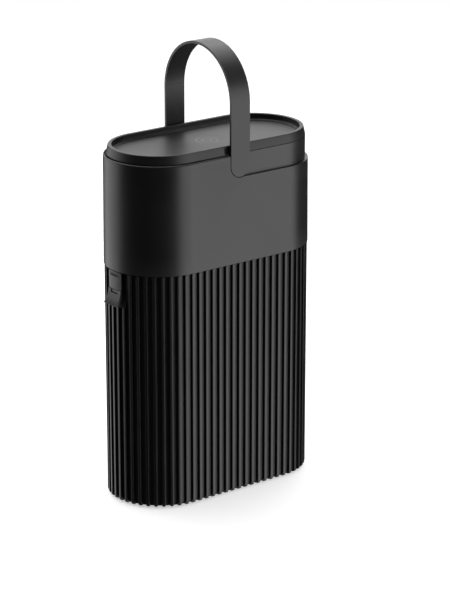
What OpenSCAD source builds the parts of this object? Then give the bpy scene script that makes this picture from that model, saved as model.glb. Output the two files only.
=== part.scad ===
// Capsule recycling container: fluted bin, latched collar, lift-off lid, folding strap handle.
// Millimetres. Origin at the centre of the footprint, on the floor. +X to the right, -Y to the front, +Z up.

/* [Overall] */
// Length of the collar outline at its lower edge
body_length = 220; // [180:1:270]
// Depth of the collar outline at its lower edge
body_depth = 106; // [88:1:130]
// Height of the bin up to the lower edge of the collar
bin_height = 234; // [180:1:280]
// Height of the collar, from its lower edge to its top edge
collar_height = 106; // [85:1:130]

/* [Bin] */
// Number of ribs round the bin in one quarter, counted in halves
quarter_ribs = 17.5; // [12.5:1:20.5]
// Depth of the grooves between the ribs
groove_depth = 3; // [2:0.1:4]
// Width of a groove at the crest line
groove_width = 5; // [3.6:0.1:6]
// Wall thickness of the bin
bin_wall = 2.5; // [2:0.1:3.5]
// Thickness of the floor of the bin
floor_thickness = 3.5; // [3:0.1:6]
// Height of the neck that stands up inside the collar
neck_height = 11; // [8:0.5:16]
// Diameter of a foot
foot_diameter = 14; // [10:0.5:18]
// How far the feet lift the bin
foot_rise = 1.5; // [1:0.1:3]

/* [Collar] */
// How much narrower the collar is at the top, on each side
collar_draft = 0.8; // [0:0.1:2]
// Height of the strip in which the folded handle lies
strip_height = 22.7; // [18:0.1:28]
// Thickness of the wall behind the folded handle
seat_wall = 2.5; // [2:0.1:4]

/* [Lid] */
// Height of the outer band of the lid
band_height = 8.4; // [6:0.1:12]
// How much narrower the band is at the top, on each side
band_draft = 2; // [0.5:0.1:3]
// Depth of the tray in the top of the lid
tray_depth = 6.2; // [4:0.1:7.5]
// Width of the rim on top of the lid
rim_width = 3.4; // [2.4:0.1:5]
// Thickness of the lid under the tray
lid_wall = 2.2; // [1.6:0.1:3]
// Width of a finger notch beside the handle
notch_width = 4.6; // [3:0.1:8]
// Outer radius of the emblem on the tray
emblem_radius = 11; // [7:0.5:16]

/* [Handle] */
// Width of the strap
strap_width = 22.1; // [17:0.1:27]
// Thickness of the strap
strap_thickness = 2.5; // [2:0.1:3.5]
// Diameter of the journals on which the handle turns
journal_diameter = 10; // [8:0.5:13]
// Extra reach of the arch, so that it swings past the end of the lid
arch_spare = 1.2; // [0.5:0.1:3]
// Diameter of the pivot screws
screw_diameter = 3.6; // [3:0.1:4]

/* [Latches] */
// Width of a latch
latch_width = 19.5; // [15:0.5:24]
// Thickness of the plate of a latch
latch_thickness = 2.5; // [2:0.1:3]
// Length of a latch below the lower edge of the collar
latch_drop = 32.5; // [29:0.5:45]
// How far the lip of a latch flares out
flare = 6; // [3:0.5:8]
// Height over which the lip flares out
flare_height = 14; // [11:0.5:16]
// Width of the slot near the top of a latch
slot_width = 14; // [8:0.5:16]
// Width of the window for the tooth of the bin
window_width = 11; // [8:0.5:14]
// Height of that window
window_height = 3.6; // [3:0.1:5]
// Diameter of the latch pins
pin_diameter = 3; // [2.5:0.1:3.5]

/* [Fits] */
// Gap between the shoulder of the bin and the collar
shoulder_gap = 0.4; // [0.3:0.1:0.8]
// Gap under the band of the lid
lid_gap = 0.6; // [0.3:0.1:0.8]
// Gap between the strap and the wall behind it
strap_gap = 0.35; // [0.3:0.05:0.6]
// Gap round the feet of the handle
foot_gap = 0.8; // [0.4:0.1:1.2]
// Gap between the plug of the lid and the mouth
plug_gap = 0.4; // [0.3:0.1:0.8]
// Play of the journals and pins in their bores, on the diameter
turning_play = 0.08; // [0.04:0.02:0.2]
// Gap on each side of a latch, of its arm and of the tooth in its window
latch_gap = 0.6; // [0.4:0.1:0.8]

/* [Hidden] */
$fn = 96;
smooth = 160;
R = body_depth / 2;
h = body_length / 2 - R;
// Bin: crest, groove, neck, pocket and inner radius of the round ends, from the outside in
crest_r = R - 0.6;
groove_r = crest_r - groove_depth;
pocket_r = groove_r - 0.1;
neck_r = groove_r - 0.2;
bin_in_r = groove_r - bin_wall;
quarter = h + PI * crest_r / 2;
pitch = quarter / quarter_ribs;
groove_taper = 0.5;
bin_top = bin_height - shoulder_gap;
neck_top = bin_height + neck_height;
seal_height = 2;
seal_top = neck_top + seal_height;
foot_y = bin_in_r - foot_diameter;
foot_recess = 1;
foot_edge = 0.7;
// Collar
collar_top = bin_height + collar_height;
collar_top_r = R - collar_draft;
collar_edge = 1.1;
collar_chamfer = 0.35;
collar_in_r = groove_r + 0.5;
land_r = bin_in_r - 0.3;
land_height = 2.5;
seat_r = collar_top_r - 2.7;
mouth_r = seat_r - seat_wall;
ledge_z = collar_top + 0.5 - strip_height;
mouth_low = ledge_z - 8;
pivot_z = ledge_z + strip_height / 2;
trench_depth = 3;
trench_width = 1.5;
// Lid
lid_base = collar_top + lid_gap;
lid_top = lid_base + band_height;
lid_top_r = seat_r - band_draft;
tray_r = lid_top_r - rim_width;
tray_z = lid_top - tray_depth;
tray_fillet = 1.6;
plug_r = mouth_r - plug_gap;
plug_wall = 1.8;
seal_out_r = seat_r - 0.7;
seal_in_r = mouth_r + 0.4;
seal_groove = 0.9;
notch_gap = 0.6;
notch_depth = 2.6;
notch_cover = 1.6;
emblem_depth = 0.4;
emblem_ring = 1;
emblem_dot = emblem_radius * 0.48;
// Handle and its bearings
strap_in = seat_r + strap_gap;
strap_out = strap_in + strap_thickness;
arch_z = pivot_z + h + arch_spare;
bush_r = journal_diameter / 2 + 2;
flange_r = bush_r + 2;
flange_thickness = 1.5;
thrust_thickness = 0.3;
washer_r = journal_diameter / 2 + 1.5;
washer_thickness = 1;
journal_end = mouth_r - flange_thickness - 0.2;
head_height = 2.4;
head_diameter = 2 * screw_diameter;
screw_reach = 1.1;
relief_gap = 0.6;
plug_low = pivot_z + washer_r + 0.7;
// Latches
w = latch_width / 2;
tab_out = crest_r + 0.2;
tab_in = tab_out - latch_thickness;
tab_top = bin_height - 1;
tab_low = bin_height - latch_drop;
x_out = -h - tab_out;
flare_r = (flare * flare + flare_height * flare_height) / (2 * flare);
lip_thickness = 2.4;
barrel_r = pin_diameter / 2 + 1.5;
pin_r = groove_r - 2.6;
pin_x = h + pin_r;
pin_z = bin_height + barrel_r + 1.5;
arm_thickness = 3;
arm_half = latch_width * 0.35;
spring_half = 3.2;
spring_gap = 0.3;
slot_z = bin_height - 5.6;
slot_height = 1.4;
slot_top = slot_z + slot_height;
slot_slope = 1.8;
slot_x = x_out + 1.2;
window_z = bin_height - 20.5;
// Pockets of the bin round the latches, and what holds the pins above them
pocket_half = w + 4.2;
pocket_low = tab_low - 2.5;
scoop_height = 12;
scoop_z = pocket_low + scoop_height;
scoop_r = (groove_depth * groove_depth + scoop_height * scoop_height) / (2 * groove_depth);
ear_top = bin_height + 11;
ear_inset = 0.2;
ear_gap = 0.4;
pin_inset = 0.8;
bridge_low = bin_height + 9;
bridge_top = seal_top - 2.3;
inner_x = -h - 30;
far_x = -body_length;

// Stadium outline of end radius r round the straight core of the body
module outline(r) {
    square([2 * h, 2 * r], center = true);
    for (s = [-1, 1]) translate([s * h, 0]) circle(r);
}

module slab(r, z0, z1) {
    translate([0, 0, z0]) linear_extrude(z1 - z0) outline(r);
}

// Solid swept round the core: the child is a half profile in (radius, height)
module sweep_solid() {
    for (s = [-1, 1]) translate([s * h, 0, 0]) rotate_extrude() children();
    translate([-h, 0, 0]) rotate([90, 0, 90]) linear_extrude(2 * h) {
        children();
        mirror([1, 0]) children();
    }
}

module at_ends() {
    children();
    mirror([1, 0, 0]) children();
}

module at_sides() {
    children();
    mirror([0, 1, 0]) children();
}

// Puts what is drawn along +Z on the pivot line, pointing to the front and to the back
module at_pivots() {
    at_sides() translate([0, 0, pivot_z]) rotate([90, 0, 0]) children();
}

module box(x0, x1, y0, y1, z0, z1) {
    translate([x0, y0, z0]) cube([x1 - x0, y1 - y0, z1 - z0]);
}

// Box at the left end, as wide as half on each side of the middle
module end_box(half, z0, z1) {
    box(far_x, inner_x, -half, half, z0, z1);
}

// Cylinder along Y on the line of the latch pin at the left end
module on_pin(r, half) {
    translate([-pin_x, half, pin_z]) rotate([90, 0, 0]) cylinder(r = r, h = 2 * half);
}

module groove() {
    top = groove_width / 2;
    low = top - groove_taper;
    polygon([[-low, -groove_depth], [low, -groove_depth], [top, 0], [top, 1], [-top, 1], [-top, 0]]);
}

// Grooves between the ribs, in plan
module grooves() {
    n = floor(quarter_ribs);
    for (m = [0, 1]) rotate(180 * m) for (k = [-n : n]) {
        s = (k + 0.5) * pitch;
        if (abs(s) <= h)
            translate([s, -crest_r]) rotate(180) groove();
        else if (abs(s) < 2 * quarter)
            translate([sign(s) * h, 0]) rotate(sign(s) * (abs(s) - h) / crest_r * 180 / PI)
                translate([0, -crest_r]) rotate(180) groove();
    }
}

// Pocket round a latch at the left end, with a scooped foot
module latch_pocket() {
    difference() {
        end_box(pocket_half, pocket_low, bin_top + 1);
        slab(pocket_r, scoop_z, bin_top + 2);
        difference() {
            box(far_x, -h, -R, R, pocket_low - 1, scoop_z);
            translate([-h - pocket_r - scoop_r, R, scoop_z]) rotate([90, 0, 0])
                cylinder(r = scoop_r, h = 2 * R, $fn = smooth);
        }
    }
}

module bin() color([0.12, 0.12, 0.13]) {
    tooth_half = window_width / 2 - latch_gap;
    difference() {
        union() {
            difference() {
                union() {
                    translate([0, 0, foot_rise]) linear_extrude(bin_top - foot_rise) difference() {
                        outline(crest_r);
                        grooves();
                    }
                    // the ground that the pockets are cut into
                    at_ends() intersection() {
                        end_box(pocket_half, pocket_low, scoop_z + 1);
                        slab(crest_r, pocket_low, scoop_z + 1);
                    }
                }
                at_ends() latch_pocket();
            }
            slab(neck_r, foot_rise + 2, neck_top);
            // teeth that sit in the windows of the latches
            at_ends() box(-h - crest_r + 0.3, -h - groove_r + 1, -tooth_half, tooth_half,
                          window_z - window_height / 2 + latch_gap, window_z + window_height / 2 - latch_gap);
        }
        slab(bin_in_r, foot_rise + floor_thickness, neck_top + 1);
        at_ends() {
            end_box(pocket_half, bin_top, neck_top + 1);
            end_box(arm_half + latch_gap, tab_top - arm_thickness - 1, neck_top);
        }
        for (x = [-1, 1], y = [-1, 1]) translate([x * h, y * foot_y, foot_rise - 1])
            cylinder(d = foot_diameter, h = 1 + foot_recess);
    }
}

module feet() color([0.25, 0.25, 0.26])
    for (x = [-1, 1], y = [-1, 1]) translate([x * h, y * foot_y, 0]) {
        cylinder(d1 = foot_diameter - 2 * foot_edge, d2 = foot_diameter, h = foot_edge);
        translate([0, 0, foot_edge]) cylinder(d = foot_diameter, h = foot_rise + foot_recess - foot_edge);
    }

module bin_seal() color([0.3, 0.3, 0.31]) difference() {
    slab(neck_r - 0.1, neck_top, seal_top);
    slab(bin_in_r + 0.2, neck_top - 1, seal_top + 1);
}

// Everything the handle needs free beside the seat wall, seen from the front
module handle_path() {
    rp = strap_width / 2 + foot_gap;
    translate([0, ledge_z]) square([body_length, collar_top - ledge_z + 5]);
    translate([0, pivot_z]) circle(rp);
    translate([-rp, pivot_z]) square([2 * rp, collar_top - pivot_z + 5]);
}

// Ears for the pin of the left latch, and the bridge that joins them to the collar
module latch_bracket() {
    outer_x = -h - collar_in_r - 0.5;
    ear_x = -pin_x + barrel_r + 0.2;
    difference() {
        intersection() {
            union() {
                at_sides() box(outer_x, ear_x, w + ear_gap, pocket_half - ear_inset,
                               bin_height + latch_gap, ear_top);
                box(outer_x, ear_x, -pocket_half + ear_inset, pocket_half - ear_inset, bridge_low, bridge_top);
            }
            slab(R - 1.5, bin_height, seal_top);
        }
        on_pin(pin_diameter / 2, pocket_half - pin_inset);
    }
}

module collar() color([0.14, 0.14, 0.15]) {
    difference() {
        sweep_solid() polygon([[0, bin_height], [R, bin_height], [collar_top_r, collar_top - collar_edge],
                               [collar_top_r - collar_chamfer, collar_top - collar_chamfer],
                               [collar_top_r - collar_edge, collar_top], [0, collar_top]]);
        slab(collar_in_r, bin_height - 1, seal_top);
        slab(land_r, seal_top - 1, seal_top + land_height + 1);
        slab(collar_in_r, seal_top + land_height, mouth_low + 1);
        slab(mouth_r, mouth_low, collar_top + 1);
        // strip for the folded handle and pocket for its round ends
        difference() {
            rotate([90, 0, 0]) translate([0, 0, -body_depth]) linear_extrude(2 * body_depth) handle_path();
            slab(seat_r, ledge_z - 10, collar_top + 10);
        }
        // trench between the collar and the band of the lid
        difference() {
            box(-body_length, 0, -body_depth, body_depth, collar_top - trench_depth, collar_top + 1);
            slab(seat_r, collar_top - trench_depth - 1, collar_top + 2);
            difference() {
                slab(R + 1, collar_top - trench_depth - 1, collar_top + 2);
                slab(seat_r + trench_width, collar_top - trench_depth - 2, collar_top + 3);
            }
        }
        at_pivots() translate([0, 0, mouth_r - 1]) cylinder(r = bush_r, h = seat_wall + 2);
        // room for the latches
        at_ends() box(-h - collar_in_r - 0.3, -h - 20, -pocket_half + ear_gap, pocket_half - ear_gap,
                      bin_height - 1, bridge_low);
    }
    at_ends() latch_bracket();
}

module pivot_bushes() color([0.75, 0.75, 0.72]) at_pivots() difference() {
    union() {
        translate([0, 0, mouth_r]) cylinder(r = bush_r, h = seat_wall);
        translate([0, 0, mouth_r - flange_thickness]) cylinder(r = flange_r, h = flange_thickness);
    }
    translate([0, 0, mouth_r - flange_thickness - 1])
        cylinder(d = journal_diameter + turning_play, h = seat_wall + flange_thickness + 2);
}

module thrust_washers() color([0.85, 0.85, 0.82]) at_pivots() translate([0, 0, seat_r]) difference() {
    cylinder(r = flange_r, h = thrust_thickness);
    translate([0, 0, -1]) cylinder(d = journal_diameter + 0.2, h = thrust_thickness + 2);
}

// The handle's outline across the body, out to radius r of its arch
module arch_outline(r, low) {
    translate([0, arch_z]) circle(r, $fn = smooth);
    translate([-r, low]) square([2 * r, arch_z - low]);
}

module handle() color([0.13, 0.13, 0.14]) difference() {
    union() {
        translate([-strap_width / 2, 0, 0]) rotate([90, 0, 90]) linear_extrude(strap_width) difference() {
            arch_outline(strap_out, pivot_z);
            arch_outline(strap_in, pivot_z - 1);
        }
        at_pivots() translate([0, 0, strap_in]) cylinder(d = strap_width, h = strap_thickness);
        at_pivots() translate([0, 0, journal_end]) cylinder(d = journal_diameter, h = strap_in - journal_end + 1);
    }
    at_pivots() translate([0, 0, journal_end - 1])
        cylinder(d = screw_diameter, h = 1 + strap_in - journal_end + screw_reach);
}

module pivot_washers() color([0.8, 0.8, 0.82]) at_pivots() translate([0, 0, journal_end - washer_thickness])
    difference() {
        cylinder(r = washer_r, h = washer_thickness);
        translate([0, 0, -1]) cylinder(d = screw_diameter + 0.2, h = washer_thickness + 2);
    }

module pivot_screws() color([0.8, 0.8, 0.82]) at_pivots() difference() {
    head_z = journal_end - washer_thickness - head_height;
    union() {
        translate([0, 0, head_z]) cylinder(d = head_diameter, h = head_height);
        translate([0, 0, head_z + head_height / 2])
            cylinder(d = screw_diameter, h = strap_in + screw_reach - 0.3 - head_z - head_height / 2);
    }
    // hexagon socket
    translate([0, 0, head_z - 1]) cylinder(d = head_diameter / 2, h = 1 + head_height / 2, $fn = 6);
}

// Plate of the left latch, curved like the end of the body
module latch_plate() {
    intersection() {
        difference() {
            slab(tab_out, tab_low + flare_height, tab_top);
            slab(tab_in, tab_low, bin_height + 1);
        }
        end_box(w, 0, bin_height);
    }
}

module latch_lip() {
    translate([0, w, 0]) rotate([90, 0, 0]) linear_extrude(2 * w) intersection() {
        translate([x_out - flare_r, tab_low + flare_height]) difference() {
            circle(flare_r + lip_thickness, $fn = smooth);
            circle(flare_r, $fn = smooth);
        }
        translate([x_out - flare - 2, tab_low]) square([flare + 8, flare_height + 0.02]);
    }
}

module latch_arm() {
    root_x = -h - tab_in - 0.6;
    translate([0, arm_half, 0]) rotate([90, 0, 0]) linear_extrude(2 * arm_half)
        polygon([[root_x, tab_top - 1.2], [root_x, tab_top - arm_thickness],
                 [-pin_x + 2.2, tab_top - arm_thickness], [-pin_x + barrel_r - 0.3, pin_z],
                 [-pin_x - barrel_r + 0.3, pin_z], [-pin_x - 2.1, tab_top + 0.4]]);
    on_pin(barrel_r, w);
}

module latch_body() color([0.13, 0.13, 0.14]) difference() {
    union() {
        latch_plate();
        latch_lip();
        latch_arm();
    }
    on_pin((pin_diameter + turning_play) / 2, w + 1);
    // middle left free for the spring
    on_pin(barrel_r + 0.6, spring_half + spring_gap);
    // slot, with a slope that leads down to it
    translate([0, slot_width / 2, 0]) rotate([90, 0, 0]) linear_extrude(slot_width)
        polygon([[x_out - 1, slot_z], [slot_x, slot_z], [slot_x, slot_top], [x_out, slot_top],
                 [slot_x, slot_top + slot_slope], [x_out - 1, slot_top + slot_slope]]);
    end_box(window_width / 2, window_z - window_height / 2, window_z + window_height / 2);
}

module latch_left() latch_body();

module latch_right() mirror([1, 0, 0]) latch_body();

module latch_pins() color([0.75, 0.75, 0.77]) at_ends() on_pin(pin_diameter / 2, pocket_half - pin_inset);

module latch_springs() color([0.7, 0.7, 0.72]) at_ends() difference() {
    union() {
        on_pin(barrel_r - 0.2, spring_half);
        box(-pin_x + 1.9, -pin_x + 2.7, -spring_half, spring_half, pin_z, bridge_low);
    }
    on_pin(pin_diameter / 2 + 0.05, spring_half + 1);
}

module emblem_shape() {
    difference() {
        circle(emblem_radius);
        circle(emblem_radius - emblem_ring);
    }
    difference() {
        circle(emblem_dot);
        circle(emblem_dot - emblem_ring);
    }
}

module lid() color([0.14, 0.14, 0.15]) difference() {
    union() {
        sweep_solid() polygon([[0, lid_base], [seat_r, lid_base], [lid_top_r + 0.35, lid_top - 0.9],
                               [lid_top_r + 0.1, lid_top - 0.3], [lid_top_r - 0.5, lid_top], [0, lid_top]]);
        slab(plug_r, plug_low, lid_base + 1);
    }
    // tray
    difference() {
        slab(tray_r, tray_z, lid_top + 1);
        difference() {
            slab(lid_top_r, tray_z - 1, tray_z + tray_fillet - 0.1);
            sweep_solid() polygon([[0, tray_z - 2], [tray_r - tray_fillet, tray_z - 2],
                                   [tray_r - tray_fillet, tray_z], [tray_r - 0.5, tray_z + 0.5],
                                   [tray_r, tray_z + tray_fillet], [0, tray_z + tray_fillet]]);
        }
    }
    // hollow underside
    slab(plug_r - plug_wall, plug_low - 1, tray_z - lid_wall);
    // reliefs over the flanges of the bushes
    at_sides() box(-flange_r - relief_gap, flange_r + relief_gap, -mouth_r, -mouth_r + 5, plug_low - 1,
                   pivot_z + flange_r + relief_gap - 0.1);
    // groove of the seal
    difference() {
        slab(seal_out_r, lid_base - 1, lid_base + seal_groove);
        slab(seal_in_r, lid_base - 2, lid_base + seal_groove + 1);
    }
    // finger notches beside the handle
    at_sides() box(-strap_width / 2 - notch_gap - notch_width, -strap_width / 2 - notch_gap, -seat_r - 1,
                   -seat_r + notch_depth, lid_base - 1, lid_top - notch_cover);
    // seat of the emblem
    translate([0, 0, tray_z - emblem_depth]) linear_extrude(emblem_depth + 1) emblem_shape();
}

module lid_seal() color([0.3, 0.3, 0.31]) difference() {
    slab(seal_out_r, collar_top, lid_base + seal_groove);
    slab(seal_in_r, collar_top - 1, lid_base + seal_groove + 1);
}

module lid_emblem() color([0.3, 0.3, 0.31])
    translate([0, 0, tray_z - emblem_depth]) linear_extrude(emblem_depth) emblem_shape();

bin();
feet();
bin_seal();
collar();
pivot_bushes();
thrust_washers();
handle();
pivot_washers();
pivot_screws();
latch_left();
latch_right();
latch_pins();
latch_springs();
lid();
lid_seal();
lid_emblem();
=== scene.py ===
"""Looks of a capsule recycling container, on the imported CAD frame.

The ribbed bin and the tray lid are redrawn as fine swept pieces. The collar, the strap handle, the latches
and the small pieces are the CAD's own, with rounded edges and materials.
"""

import math

import bmesh
import bpy
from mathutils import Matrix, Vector


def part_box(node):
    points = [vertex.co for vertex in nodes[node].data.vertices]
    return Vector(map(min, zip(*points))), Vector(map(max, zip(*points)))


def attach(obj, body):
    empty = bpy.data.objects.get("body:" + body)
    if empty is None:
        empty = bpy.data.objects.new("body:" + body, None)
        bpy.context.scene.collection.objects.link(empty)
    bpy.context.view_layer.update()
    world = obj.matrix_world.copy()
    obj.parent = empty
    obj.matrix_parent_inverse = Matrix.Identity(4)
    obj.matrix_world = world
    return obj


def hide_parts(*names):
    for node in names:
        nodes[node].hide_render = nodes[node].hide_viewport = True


MM = 0.001
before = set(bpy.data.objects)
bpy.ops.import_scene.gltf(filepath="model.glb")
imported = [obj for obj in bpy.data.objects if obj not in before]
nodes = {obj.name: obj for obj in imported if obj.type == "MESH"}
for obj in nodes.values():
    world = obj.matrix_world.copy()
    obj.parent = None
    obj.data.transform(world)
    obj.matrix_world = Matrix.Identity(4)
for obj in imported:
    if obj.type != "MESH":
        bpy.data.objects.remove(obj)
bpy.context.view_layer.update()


# ---------------------------------------------------------------- sizes, from the frame or as in the part

bin_low, bin_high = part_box("bin")
lid_low, lid_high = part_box("lid")
collar_low, collar_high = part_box("collar")
CREST = (bin_high.y - bin_low.y) / 2  # radius of the rib crests at the round ends
CORE = bin_high.x - CREST  # half the straight length of the stadium
FOOT = bin_low.z
NECK_TOP = bin_high.z
RIBS = 70
GROOVE = 3.0 * MM  # depth of the grooves between the ribs
WALL = 2.5 * MM
FLOOR_THICKNESS = 3.5 * MM
SHOULDER_GAP = 0.4 * MM
SHOULDER = collar_low.z - SHOULDER_GAP

LATCH_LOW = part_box("latch_left")[0].z
LATCH_TOP = collar_low.z - 1 * MM
LATCH_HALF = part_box("latch_left")[1].y
LATCH_GAP = 0.6 * MM
POCKET_BESIDE = 4.2 * MM  # how far a pocket reaches past its latch on each side
POCKET_BELOW = 2.5 * MM
SCOOP_HEIGHT = 12 * MM
WINDOW_RISE = 12 * MM  # from the lower end of a latch to the middle of its window
TOOTH_HALF_WIDTH = 4.9 * MM
TOOTH_HALF_HEIGHT = 1.2 * MM

LID_R = (lid_high.y - lid_low.y) / 2
LID_TOP = lid_high.z
LID_GAP = 0.6 * MM
LID_BAND = collar_high.z + LID_GAP
LID_DRAFT = 2.0 * MM
RIM = 3.4 * MM
TRAY = LID_TOP - 6.2 * MM
LID_WALL = 2.2 * MM
SEAT_WALL = 2.5 * MM  # the mouth of the collar is this much further in than the lid's band
PLUG_GAP = 0.4 * MM
PLUG_WALL = 1.8 * MM
NOTCH_NEAR = 0.6 * MM  # finger notch: from here to NOTCH_FAR beside the handle
NOTCH_FAR = 5.2 * MM
NOTCH_DEPTH = 2.6 * MM
NOTCH_COVER = 1.6 * MM
RELIEF_GAP = 0.6 * MM  # round the flanges of the bushes
RELIEF_DEPTH = 5 * MM
EMBLEM_INNER = 0.48  # radius of the emblem's inner ring, as a share of the outer


# ---------------------------------------------------------------- stadium geometry


def on_stadium(s, radius, inset):
    """Point at arc length s, from the front middle, round a stadium of that end radius, moved in by inset."""
    turn = math.pi * radius
    s %= 4 * CORE + 2 * turn
    if s < CORE:
        return s, -(radius - inset)
    s -= CORE
    if s < turn:
        a = s / radius
        return CORE + (radius - inset) * math.sin(a), -(radius - inset) * math.cos(a)
    s -= turn
    if s < 2 * CORE:
        return CORE - s, radius - inset
    s -= 2 * CORE
    if s < turn:
        a = s / radius
        return -CORE - (radius - inset) * math.sin(a), (radius - inset) * math.cos(a)
    s -= turn
    return -CORE + s, -(radius - inset)


def link_mesh(name, bm, material, smooth_angle=35):
    """Object with the mesh bm, smooth but for the edges sharper than smooth_angle degrees."""
    mesh = bpy.data.meshes.new(name)
    bmesh.ops.recalc_face_normals(bm, faces=bm.faces)
    limit = math.radians(smooth_angle)
    for edge in bm.edges:
        edge.smooth = len(edge.link_faces) == 2 and edge.calc_face_angle(0) < limit
    for face in bm.faces:
        face.smooth = True
    bm.to_mesh(mesh)
    bm.free()
    obj = bpy.data.objects.new(name, mesh)
    bpy.context.collection.objects.link(obj)
    mesh.materials.append(material)
    return obj


def sweep(bm, profile, columns, radius, inset_at=None):
    """Quads between rings, one ring for each (inset, z) of the profile. Returns the first and last ring."""
    rings = []
    for level, (inset, z) in enumerate(profile):
        ring = []
        for s in columns:
            extra = inset_at(s, z, level) if inset_at else 0.0
            x, y = on_stadium(s, radius, inset + extra)
            ring.append(bm.verts.new((x, y, z)))
        rings.append(ring)
    count = len(columns)
    for low, high in zip(rings, rings[1:]):
        for i in range(count):
            j = (i + 1) % count
            bm.faces.new((low[i], low[j], high[j], high[i]))
    return rings[0], rings[-1]


def even_columns(radius, straight=24, turn=96):
    """Arc lengths that always fall on the ends of the straight stretches."""
    half = math.pi * radius
    out = [CORE * i / straight for i in range(straight)]
    out += [CORE + half * i / turn for i in range(turn)]
    out += [CORE + half + 2 * CORE * i / (2 * straight) for i in range(2 * straight)]
    out += [3 * CORE + half + half * i / turn for i in range(turn)]
    out += [3 * CORE + 2 * half + CORE * i / straight for i in range(straight)]
    return out


def arc(cx, cz, radius, start, end, steps):
    """Points of a circle in the profile plane, angles in degrees."""
    points = []
    for i in range(steps + 1):
        a = math.radians(start + (end - start) * i / steps)
        points.append((cx + radius * math.cos(a), cz + radius * math.sin(a)))
    return points


def smooth_step(t):
    t = min(1.0, max(0.0, t))
    return t * t * (3 - 2 * t)


def cut_with(obj, cutter):
    """Takes the cutter's shape out of obj, and removes the cutter."""
    change = obj.modifiers.new("cut", "BOOLEAN")
    change.object = cutter
    change.solver = "EXACT"
    graph = bpy.context.evaluated_depsgraph_get()
    mesh = bpy.data.meshes.new_from_object(obj.evaluated_get(graph))
    obj.modifiers.remove(change)
    old = obj.data
    obj.data = mesh
    bpy.data.meshes.remove(old)
    bpy.data.objects.remove(cutter)


def cut_boxes(obj, boxes):
    """Takes boxes, each given by two opposite corners, out of obj."""
    for a, b in boxes:
        bm = bmesh.new()
        bmesh.ops.create_cube(bm, size=1)
        for v in bm.verts:
            v.co = Vector((p + q) / 2 + c * abs(p - q) for p, q, c in zip(a, b, v.co))
        cut_with(obj, link_mesh("cutter", bm, bin_black))


# ---------------------------------------------------------------- materials


def node_tree(name):
    """New material, with its node tree and its shader."""
    material = bpy.data.materials.new(name)
    material.use_nodes = True
    tree = material.node_tree
    shader = next(n for n in tree.nodes if n.type == "BSDF_PRINCIPLED")
    return material, tree, shader


def noise(tree, scale, detail=3.0, roughness=0.5, stretch=(1, 1, 1)):
    """Noise in the object's own coordinates."""
    place = tree.nodes.new("ShaderNodeTexCoord")
    mapping = tree.nodes.new("ShaderNodeMapping")
    mapping.inputs["Scale"].default_value = stretch
    tree.links.new(place.outputs["Object"], mapping.inputs["Vector"])
    texture = tree.nodes.new("ShaderNodeTexNoise")
    texture.inputs["Scale"].default_value = scale
    texture.inputs["Detail"].default_value = detail
    texture.inputs["Roughness"].default_value = roughness
    tree.links.new(mapping.outputs["Vector"], texture.inputs["Vector"])
    return texture.outputs["Fac"]


def remap(tree, value, low, high, from_low=0.3, from_high=0.7):
    """Maps from_low..from_high of a value to low..high."""
    node = tree.nodes.new("ShaderNodeMapRange")
    node.inputs["From Min"].default_value = from_low
    node.inputs["From Max"].default_value = from_high
    node.inputs["To Min"].default_value = low
    node.inputs["To Max"].default_value = high
    tree.links.new(value, node.inputs["Value"])
    return node.outputs["Result"]


def mix_colour(tree, factor, first, second):
    """Mix of two colours, each given as a tuple or as a socket."""
    node = tree.nodes.new("ShaderNodeMix")
    node.data_type = "RGBA"
    for socket, value in (("A", first), ("B", second)):
        target = next(i for i in node.inputs if i.name == socket and i.type == "RGBA")
        if isinstance(value, tuple):
            target.default_value = (*value, 1.0)
        else:
            tree.links.new(value, target)
    tree.links.new(factor, node.inputs["Factor"])
    return next(o for o in node.outputs if o.type == "RGBA")


def bump(tree, height, strength, distance, shader, under=None):
    """Bump on the shader, laid over another bump if under is given."""
    node = tree.nodes.new("ShaderNodeBump")
    node.inputs["Strength"].default_value = strength
    node.inputs["Distance"].default_value = distance
    tree.links.new(height, node.inputs["Height"])
    if under is not None:
        tree.links.new(under, node.inputs["Normal"])
    tree.links.new(node.outputs["Normal"], shader.inputs["Normal"])
    return node.outputs["Normal"]


def satin_plastic(name, colour, roughness, grain=0.12, specular=0.4, swell=0.05):
    """Moulded plastic: spark-eroded grain, faint clouding of the gloss, lighter rubbed edges."""
    material, tree, shader = node_tree(name)
    cloud = noise(tree, 14.0, 4.0)
    fine = noise(tree, 900.0, 2.0)
    edge = tree.nodes.new("ShaderNodeNewGeometry").outputs["Pointiness"]
    rubbed = remap(tree, edge, 0.0, 0.5, 0.515, 0.58)
    light = tuple(c * 1.9 + 0.012 for c in colour)
    dark = tuple(c * 0.8 for c in colour)
    body = mix_colour(tree, remap(tree, cloud, 0.0, 1.0), dark, tuple(c * 1.15 for c in colour))
    tree.links.new(mix_colour(tree, rubbed, body, light), shader.inputs["Base Color"])
    tree.links.new(remap(tree, cloud, roughness - 0.035, roughness + 0.035), shader.inputs["Roughness"])
    shader.inputs["Specular IOR Level"].default_value = specular
    waves = bump(tree, noise(tree, 9.0, 1.0), swell, 0.002, shader)
    bump(tree, fine, grain, 0.0002, shader, waves)
    return material


def rubber(name, colour):
    material, tree, shader = node_tree(name)
    cloud = noise(tree, 60.0, 4.0)
    body = mix_colour(tree, remap(tree, cloud, 0.0, 1.0), colour, tuple(c * 1.6 for c in colour))
    tree.links.new(body, shader.inputs["Base Color"])
    tree.links.new(remap(tree, cloud, 0.68, 0.85), shader.inputs["Roughness"])
    bump(tree, noise(tree, 700.0, 3.0), 0.3, 0.0003, shader)
    return material


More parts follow.
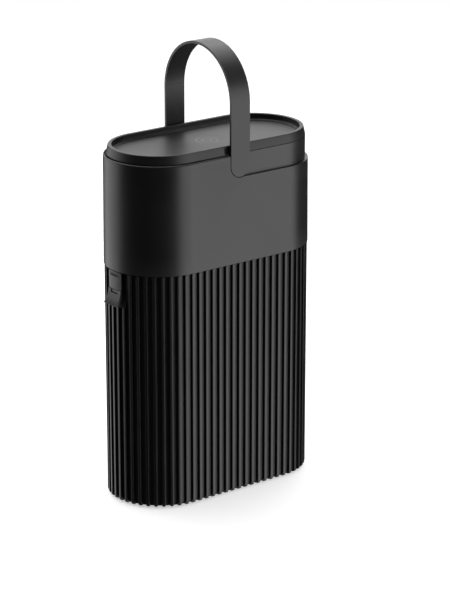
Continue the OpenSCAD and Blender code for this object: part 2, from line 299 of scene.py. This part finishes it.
def steel(name):
    material, tree, shader = node_tree(name)
    lines = noise(tree, 220.0, 3.0, stretch=(1, 1, 14))
    body = mix_colour(tree, remap(tree, lines, 0.0, 1.0), (0.46, 0.46, 0.48), (0.62, 0.62, 0.64))
    tree.links.new(body, shader.inputs["Base Color"])
    tree.links.new(remap(tree, lines, 0.22, 0.38), shader.inputs["Roughness"])
    shader.inputs["Metallic"].default_value = 1.0
    bump(tree, lines, 0.12, 0.0001, shader)
    return material


def natural_plastic(name):
    material, tree, shader = node_tree(name)
    cloud = noise(tree, 80.0, 3.0)
    body = mix_colour(tree, remap(tree, cloud, 0.0, 1.0), (0.70, 0.69, 0.64), (0.80, 0.79, 0.75))
    tree.links.new(body, shader.inputs["Base Color"])
    tree.links.new(remap(tree, cloud, 0.36, 0.5), shader.inputs["Roughness"])
    bump(tree, noise(tree, 600.0), 0.1, 0.0002, shader)
    return material


BLACK = (0.010, 0.010, 0.0105)
bin_black = satin_plastic("bin_black", BLACK, 0.34)
collar_black = satin_plastic("collar_black", BLACK, 0.36)
lid_black = satin_plastic("lid_black", (0.012, 0.012, 0.0125), 0.42, swell=0.004)
handle_black = satin_plastic("handle_black", BLACK, 0.38)
latch_black = satin_plastic("latch_black", BLACK, 0.36)
emblem_grey = satin_plastic("emblem_grey", (0.10, 0.10, 0.105), 0.45)
soft_black = rubber("soft_black", (0.02, 0.02, 0.02))
bright_steel = steel("bright_steel")
white_plastic = natural_plastic("white_plastic")

LOOKS = {
    "collar": collar_black,
    "handle": handle_black,
    "latch_left": latch_black,
    "latch_right": latch_black,
    "lid_emblem": emblem_grey,
    "feet": soft_black,
    "bin_seal": soft_black,
    "lid_seal": soft_black,
    "latch_pins": bright_steel,
    "latch_springs": bright_steel,
    "pivot_washers": bright_steel,
    "pivot_screws": bright_steel,
    "pivot_bushes": white_plastic,
    "thrust_washers": white_plastic,
}
EDGE = {"collar": 0.45, "handle": 0.7, "latch_left": 0.35, "latch_right": 0.35}

for name, material in LOOKS.items():
    node = nodes[name]
    for slot in node.material_slots:
        slot.material = material
    rounding = node.modifiers.new("rounding", "BEVEL")
    rounding.width = EDGE.get(name, 0.1) * MM
    rounding.segments = 3
    rounding.limit_method = "ANGLE"
    rounding.angle_limit = math.radians(40)
    rounding.harden_normals = True


# ---------------------------------------------------------------- bin

PITCH = (4 * CORE + 2 * math.pi * CREST) / RIBS
# half a rib in section: (distance from its middle, depth below the crest), mm
RIB_SECTION = [
    (0.0, 0.0), (1.1, 0.0), (1.27, 0.04), (1.41, 0.17), (1.48, 0.4), (1.53, 0.8),
    (1.58, 1.5), (1.66, 2.35), (1.8, 2.72), (2.06, 2.93), (2.4, 3.0), (PITCH / MM / 2, 3.0),
]


def rib_columns():
    """Arc length and depth of every column round the bin, ribs and grooves alike."""
    out = []
    for k in range(RIBS):
        for u, d in [(-a, b) for a, b in reversed(RIB_SECTION[1:])] + RIB_SECTION[:-1]:
            out.append((k * PITCH + u * MM, d * MM))
    return out


def build_bin():
    turn = math.pi * CREST
    apexes = (CORE + turn / 2, 3 * CORE + 1.5 * turn)
    pocket_half = LATCH_HALF + POCKET_BESIDE
    reach = CREST * math.asin(pocket_half / CREST)
    pocket_low = LATCH_LOW - POCKET_BELOW
    pocket_depth = GROOVE + 0.1 * MM
    scoop_r = (GROOVE**2 + SCOOP_HEIGHT**2) / (2 * GROOVE)
    depth = dict(rib_columns())
    columns = sorted(depth)
    # extra columns at the sides of the pockets, which don't fall on the ribs
    for side in (-1, 1):
        for apex in apexes:
            for step in (-0.3, -0.1, 0.1, 0.3):
                s = apex + side * reach + step * MM
                after = next(i for i, c in enumerate(columns) if c > s)
                a, b = columns[after - 1], columns[after]
                depth[s] = depth[a] + (depth[b] - depth[a]) * (s - a) / (b - a)
                columns.insert(after, s)

    def surface_depth(s, z):
        """Depth below the crest line: ribs and grooves, and the two latch pockets with their scooped feet."""
        away = min(abs(s - apex) for apex in apexes)
        across = smooth_step((reach + 0.25 * MM - away) / (0.5 * MM))
        if across == 0 or z < pocket_low:
            return depth[s]
        below = max(0.0, pocket_low + SCOOP_HEIGHT - z)
        floor = pocket_depth - scoop_r + math.sqrt(scoop_r**2 - below**2)
        return depth[s] + (floor - depth[s]) * across

    ribbed = set()  # levels of the profile that show the ribs
    base_edge = 2.2 * MM
    top_edge = 0.5 * MM
    profile = [(12 * MM, FOOT)]

    def add_ribbed(points):
        for point in points:
            ribbed.add(len(profile))
            profile.append(point)

    add_ribbed((inset, FOOT + z) for inset, z in arc(base_edge, base_edge, base_edge, 270, 180, 6))
    first, last = FOOT + 6 * MM, pocket_low - 2 * MM
    add_ribbed((0.0, first + (last - first) * i / 12) for i in range(13))
    add_ribbed((0.0, pocket_low + z * MM) for z in (-0.6, -0.2, -0.02, 0.02, 0.3, 0.7, 1.3, 2))
    add_ribbed((0.0, pocket_low + z * MM) for z in range(3, 17))
    first, last = pocket_low + 18 * MM, SHOULDER - top_edge
    add_ribbed((0.0, first + (last - first) * i / 12) for i in range(13))
    add_ribbed((inset, SHOULDER + z) for inset, z in arc(top_edge, -top_edge, top_edge, 180, 90, 3)[1:])
    neck = GROOVE + 0.2 * MM
    inner = GROOVE + WALL
    floor = FOOT + FLOOR_THICKNESS
    corner = 4 * MM
    profile += [(neck, SHOULDER), (neck, NECK_TOP - 0.6 * MM), (neck + 0.2 * MM, NECK_TOP - 0.2 * MM)]
    profile += [(neck + 0.6 * MM, NECK_TOP), (inner - 0.5 * MM, NECK_TOP), (inner, NECK_TOP - 0.4 * MM)]
    profile += [(inner, floor + (NECK_TOP - floor) * f) for f in (0.75, 0.5, 0.25)]
    profile += arc(inner + corner, floor + corner, corner, 180, 270, 6)
    profile += [(inner + 14 * MM, floor)]

    def inset_at(s, z, level):
        return surface_depth(s, z) if level in ribbed else 0.0

    bm = bmesh.new()
    low, high = sweep(bm, profile, columns, CREST, inset_at)
    bm.faces.new(low)
    bm.faces.new(high)
    obj = link_mesh("bin_ribbed", bm, bin_black, 50)
    # room in the neck for the latches, and below it for their arms
    top = NECK_TOP + 2 * MM
    arm_low = LATCH_TOP - 4 * MM
    arm_half = LATCH_HALF * 0.7 + LATCH_GAP
    cutters = []
    for side in (-1, 1):
        far, near = side * (CORE + CREST), side * (CORE + 30 * MM)
        cutters.append(((far, -pocket_half, SHOULDER - 0.05 * MM), (near, pocket_half, top)))
        cutters.append(((far, -arm_half, arm_low), (near, arm_half, top)))
    cut_boxes(obj, cutters)
    for side in (-1, 1):
        add_tooth(side)
    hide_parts("bin")
    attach(obj, "bin")


def add_tooth(side):
    """The lug of the bin that sits in the window of a latch."""
    outer = CORE + CREST - 0.3 * MM
    root = CORE + CREST - GROOVE - 0.6 * MM
    low, high = (LATCH_LOW + WINDOW_RISE + z for z in (-TOOTH_HALF_HEIGHT, TOOTH_HALF_HEIGHT))
    section = [(root, low), (outer, low), (outer, high), (root, high)]
    bm = bmesh.new()
    front = [bm.verts.new((side * x, -TOOTH_HALF_WIDTH, z)) for x, z in section]
    back = [bm.verts.new((side * x, TOOTH_HALF_WIDTH, z)) for x, z in section]
    for i in range(4):
        j = (i + 1) % 4
        bm.faces.new((front[i], front[j], back[j], back[i]))
    bm.faces.new(front)
    bm.faces.new(back)
    bmesh.ops.bevel(bm, geom=bm.edges[:], offset=0.25 * MM, segments=2, affect="EDGES")
    tooth = link_mesh("catch_tooth_" + ("right" if side > 0 else "left"), bm, bin_black)
    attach(tooth, "bin")


build_bin()


# ---------------------------------------------------------------- lid


def half_width(name):
    """Half the width of a CAD node along X."""
    low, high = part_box(name)
    return (high.x - low.x) / 2


def ring_solid(outer, inner, low, high, steps=96):
    """Flat ring round the Z axis."""
    bm = bmesh.new()
    rings = []
    turn = [2 * math.pi * i / steps for i in range(steps)]
    for radius, z in ((inner, low), (outer, low), (outer, high), (inner, high)):
        rings.append([bm.verts.new((radius * math.cos(a), radius * math.sin(a), z)) for a in turn])
    for a, b in zip(rings, rings[1:] + rings[:1]):
        for i in range(steps):
            j = (i + 1) % steps
            bm.faces.new((a[i], a[j], b[j], b[i]))
    return link_mesh("cutter", bm, bin_black)


def lid_profile(plug_low):
    """Half section of the lid: underside, plug, band, rim, then the tray."""
    plug = SEAT_WALL + PLUG_GAP
    hollow = SEAT_WALL + PLUG_GAP + PLUG_WALL
    inside = LID_DRAFT + RIM
    shoulder = 0.95 * MM
    lip = 0.6 * MM
    fillet = 2.05 * MM
    points = [(hollow, TRAY - LID_WALL), (hollow, plug_low + 0.3 * MM)]
    points += [(hollow - 0.3 * MM, plug_low), (plug + 0.4 * MM, plug_low), (plug, plug_low + 0.5 * MM)]
    points += [(plug, LID_BAND), (0.35 * MM, LID_BAND), (0.08 * MM, LID_BAND + 0.15 * MM)]
    points += [(0.03 * MM, LID_BAND + 0.4 * MM), (LID_DRAFT - 0.35 * MM, LID_TOP - 1.1 * MM)]
    points += arc(LID_DRAFT + 0.62 * MM, LID_TOP - shoulder, shoulder, 168, 90, 5)
    points += arc(inside - lip, LID_TOP - lip, lip, 90, 0, 4)
    points += [(inside + 0.02 * MM, LID_TOP - 1.4 * MM), (inside + 0.12 * MM, TRAY + 2.3 * MM)]
    points += arc(inside + 2.2 * MM, TRAY + fillet, fillet, 180, 270, 7)
    points += [(inside + 10 * MM, TRAY)]
    return points


def build_lid():
    plug_low = lid_low.z
    bm = bmesh.new()
    first, last = sweep(bm, lid_profile(plug_low), even_columns(LID_R), LID_R)
    bm.faces.new(first)
    bm.faces.new(last)
    obj = link_mesh("lid_tray", bm, lid_black, 40)
    handle_half = half_width("handle")
    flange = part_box("pivot_bushes")[1]
    plug_r = LID_R - SEAT_WALL
    boxes = []
    for side in (-1, 1):
        # finger notch beside the handle
        boxes.append(((-handle_half - NOTCH_FAR, side * (LID_R + MM), LID_BAND - MM),
                      (-handle_half - NOTCH_NEAR, side * (LID_R - NOTCH_DEPTH), LID_TOP - NOTCH_COVER)))
        # relief over the flange of a bush
        boxes.append(((-flange.x - RELIEF_GAP, side * plug_r, plug_low - MM),
                      (flange.x + RELIEF_GAP, side * (plug_r - RELIEF_DEPTH), flange.z + 0.5 * MM)))
    cut_boxes(obj, boxes)
    emblem = half_width("lid_emblem")
    for outer in (emblem, emblem * EMBLEM_INNER):
        cut_with(obj, ring_solid(outer + 0.1 * MM, outer - 1.1 * MM, TRAY - 0.45 * MM, TRAY + MM))
    flat = obj.modifiers.new("flat", "WEIGHTED_NORMAL")
    flat.keep_sharp = True
    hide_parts("lid")
    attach(obj, "lid")


build_lid()


# ---------------------------------------------------------------- studio


def direction(azimuth, elevation):
    """Unit vector towards an azimuth (0 in front, 90 to the right) and an elevation, in degrees."""
    a, e = math.radians(azimuth), math.radians(elevation)
    return Vector((math.sin(a) * math.cos(e), -math.cos(a) * math.cos(e), math.sin(e)))


def make_camera():
    data = bpy.data.cameras.new("camera")
    data.sensor_width = 36
    data.lens = 149.9
    data.clip_start = 0.05
    data.clip_end = 100
    obj = bpy.data.objects.new("camera", data)
    bpy.context.collection.objects.link(obj)
    target = Vector((0.0219, 0.0, 0.1781))
    distance = 2.439
    back = direction(-37.69, 18.4)
    obj.location = target + back * distance
    obj.rotation_euler = back.to_track_quat("Z", "Y").to_euler()
    bpy.context.scene.camera = obj


def make_floor():
    bm = bmesh.new()
    bmesh.ops.create_grid(bm, x_segments=8, y_segments=8, size=12)
    material, tree, shader = node_tree("studio_floor")
    cloud = noise(tree, 3.0)
    pale = mix_colour(tree, cloud, (0.80, 0.80, 0.80), (0.84, 0.84, 0.84))
    tree.links.new(pale, shader.inputs["Base Color"])
    shader.inputs["Roughness"].default_value = 0.9
    shader.inputs["Specular IOR Level"].default_value = 0.1
    shader.inputs["Emission Color"].default_value = (1, 1, 1, 1)
    shader.inputs["Emission Strength"].default_value = 0.5
    floor = link_mesh("studio_floor", bm, material)
    floor.visible_glossy = False
    floor.visible_diffuse = False
    floor.visible_shadow = False


def softbox(name, azimuth, elevation, size, radiance, distance=1.1):
    """A soft light facing the middle of the object; size is its width and height."""
    data = bpy.data.lights.new(name, "AREA")
    data.shape = "RECTANGLE"
    data.size, data.size_y = size
    data.energy = radiance * math.pi * size[0] * size[1]
    obj = bpy.data.objects.new(name, data)
    bpy.context.collection.objects.link(obj)
    back = direction(azimuth, elevation)
    obj.location = Vector((0, 0, LID_TOP / 2)) + back * distance
    obj.rotation_euler = back.to_track_quat("Z", "Y").to_euler()
    obj.visible_camera = False


def make_lights():
    softbox("front_right", 32, -9, (1.15, 1.45), 2.6)
    softbox("back_left", -150, -9, (1.1, 1.45), 1.6)
    softbox("back_right", 143, 30, (1.3, 0.9), 1.3)
    softbox("overhead", 160, 72, (3.2, 3.2), 2.6, distance=2.4)
    world = bpy.data.worlds.new("studio")
    bpy.context.scene.world = world
    world.use_nodes = True
    background = world.node_tree.nodes["Background"]
    background.inputs["Color"].default_value = (1, 1, 1, 1)
    background.inputs["Strength"].default_value = 0.05


make_camera()
make_floor()
make_lights()
bpy.context.scene.view_settings.view_transform = "Standard"
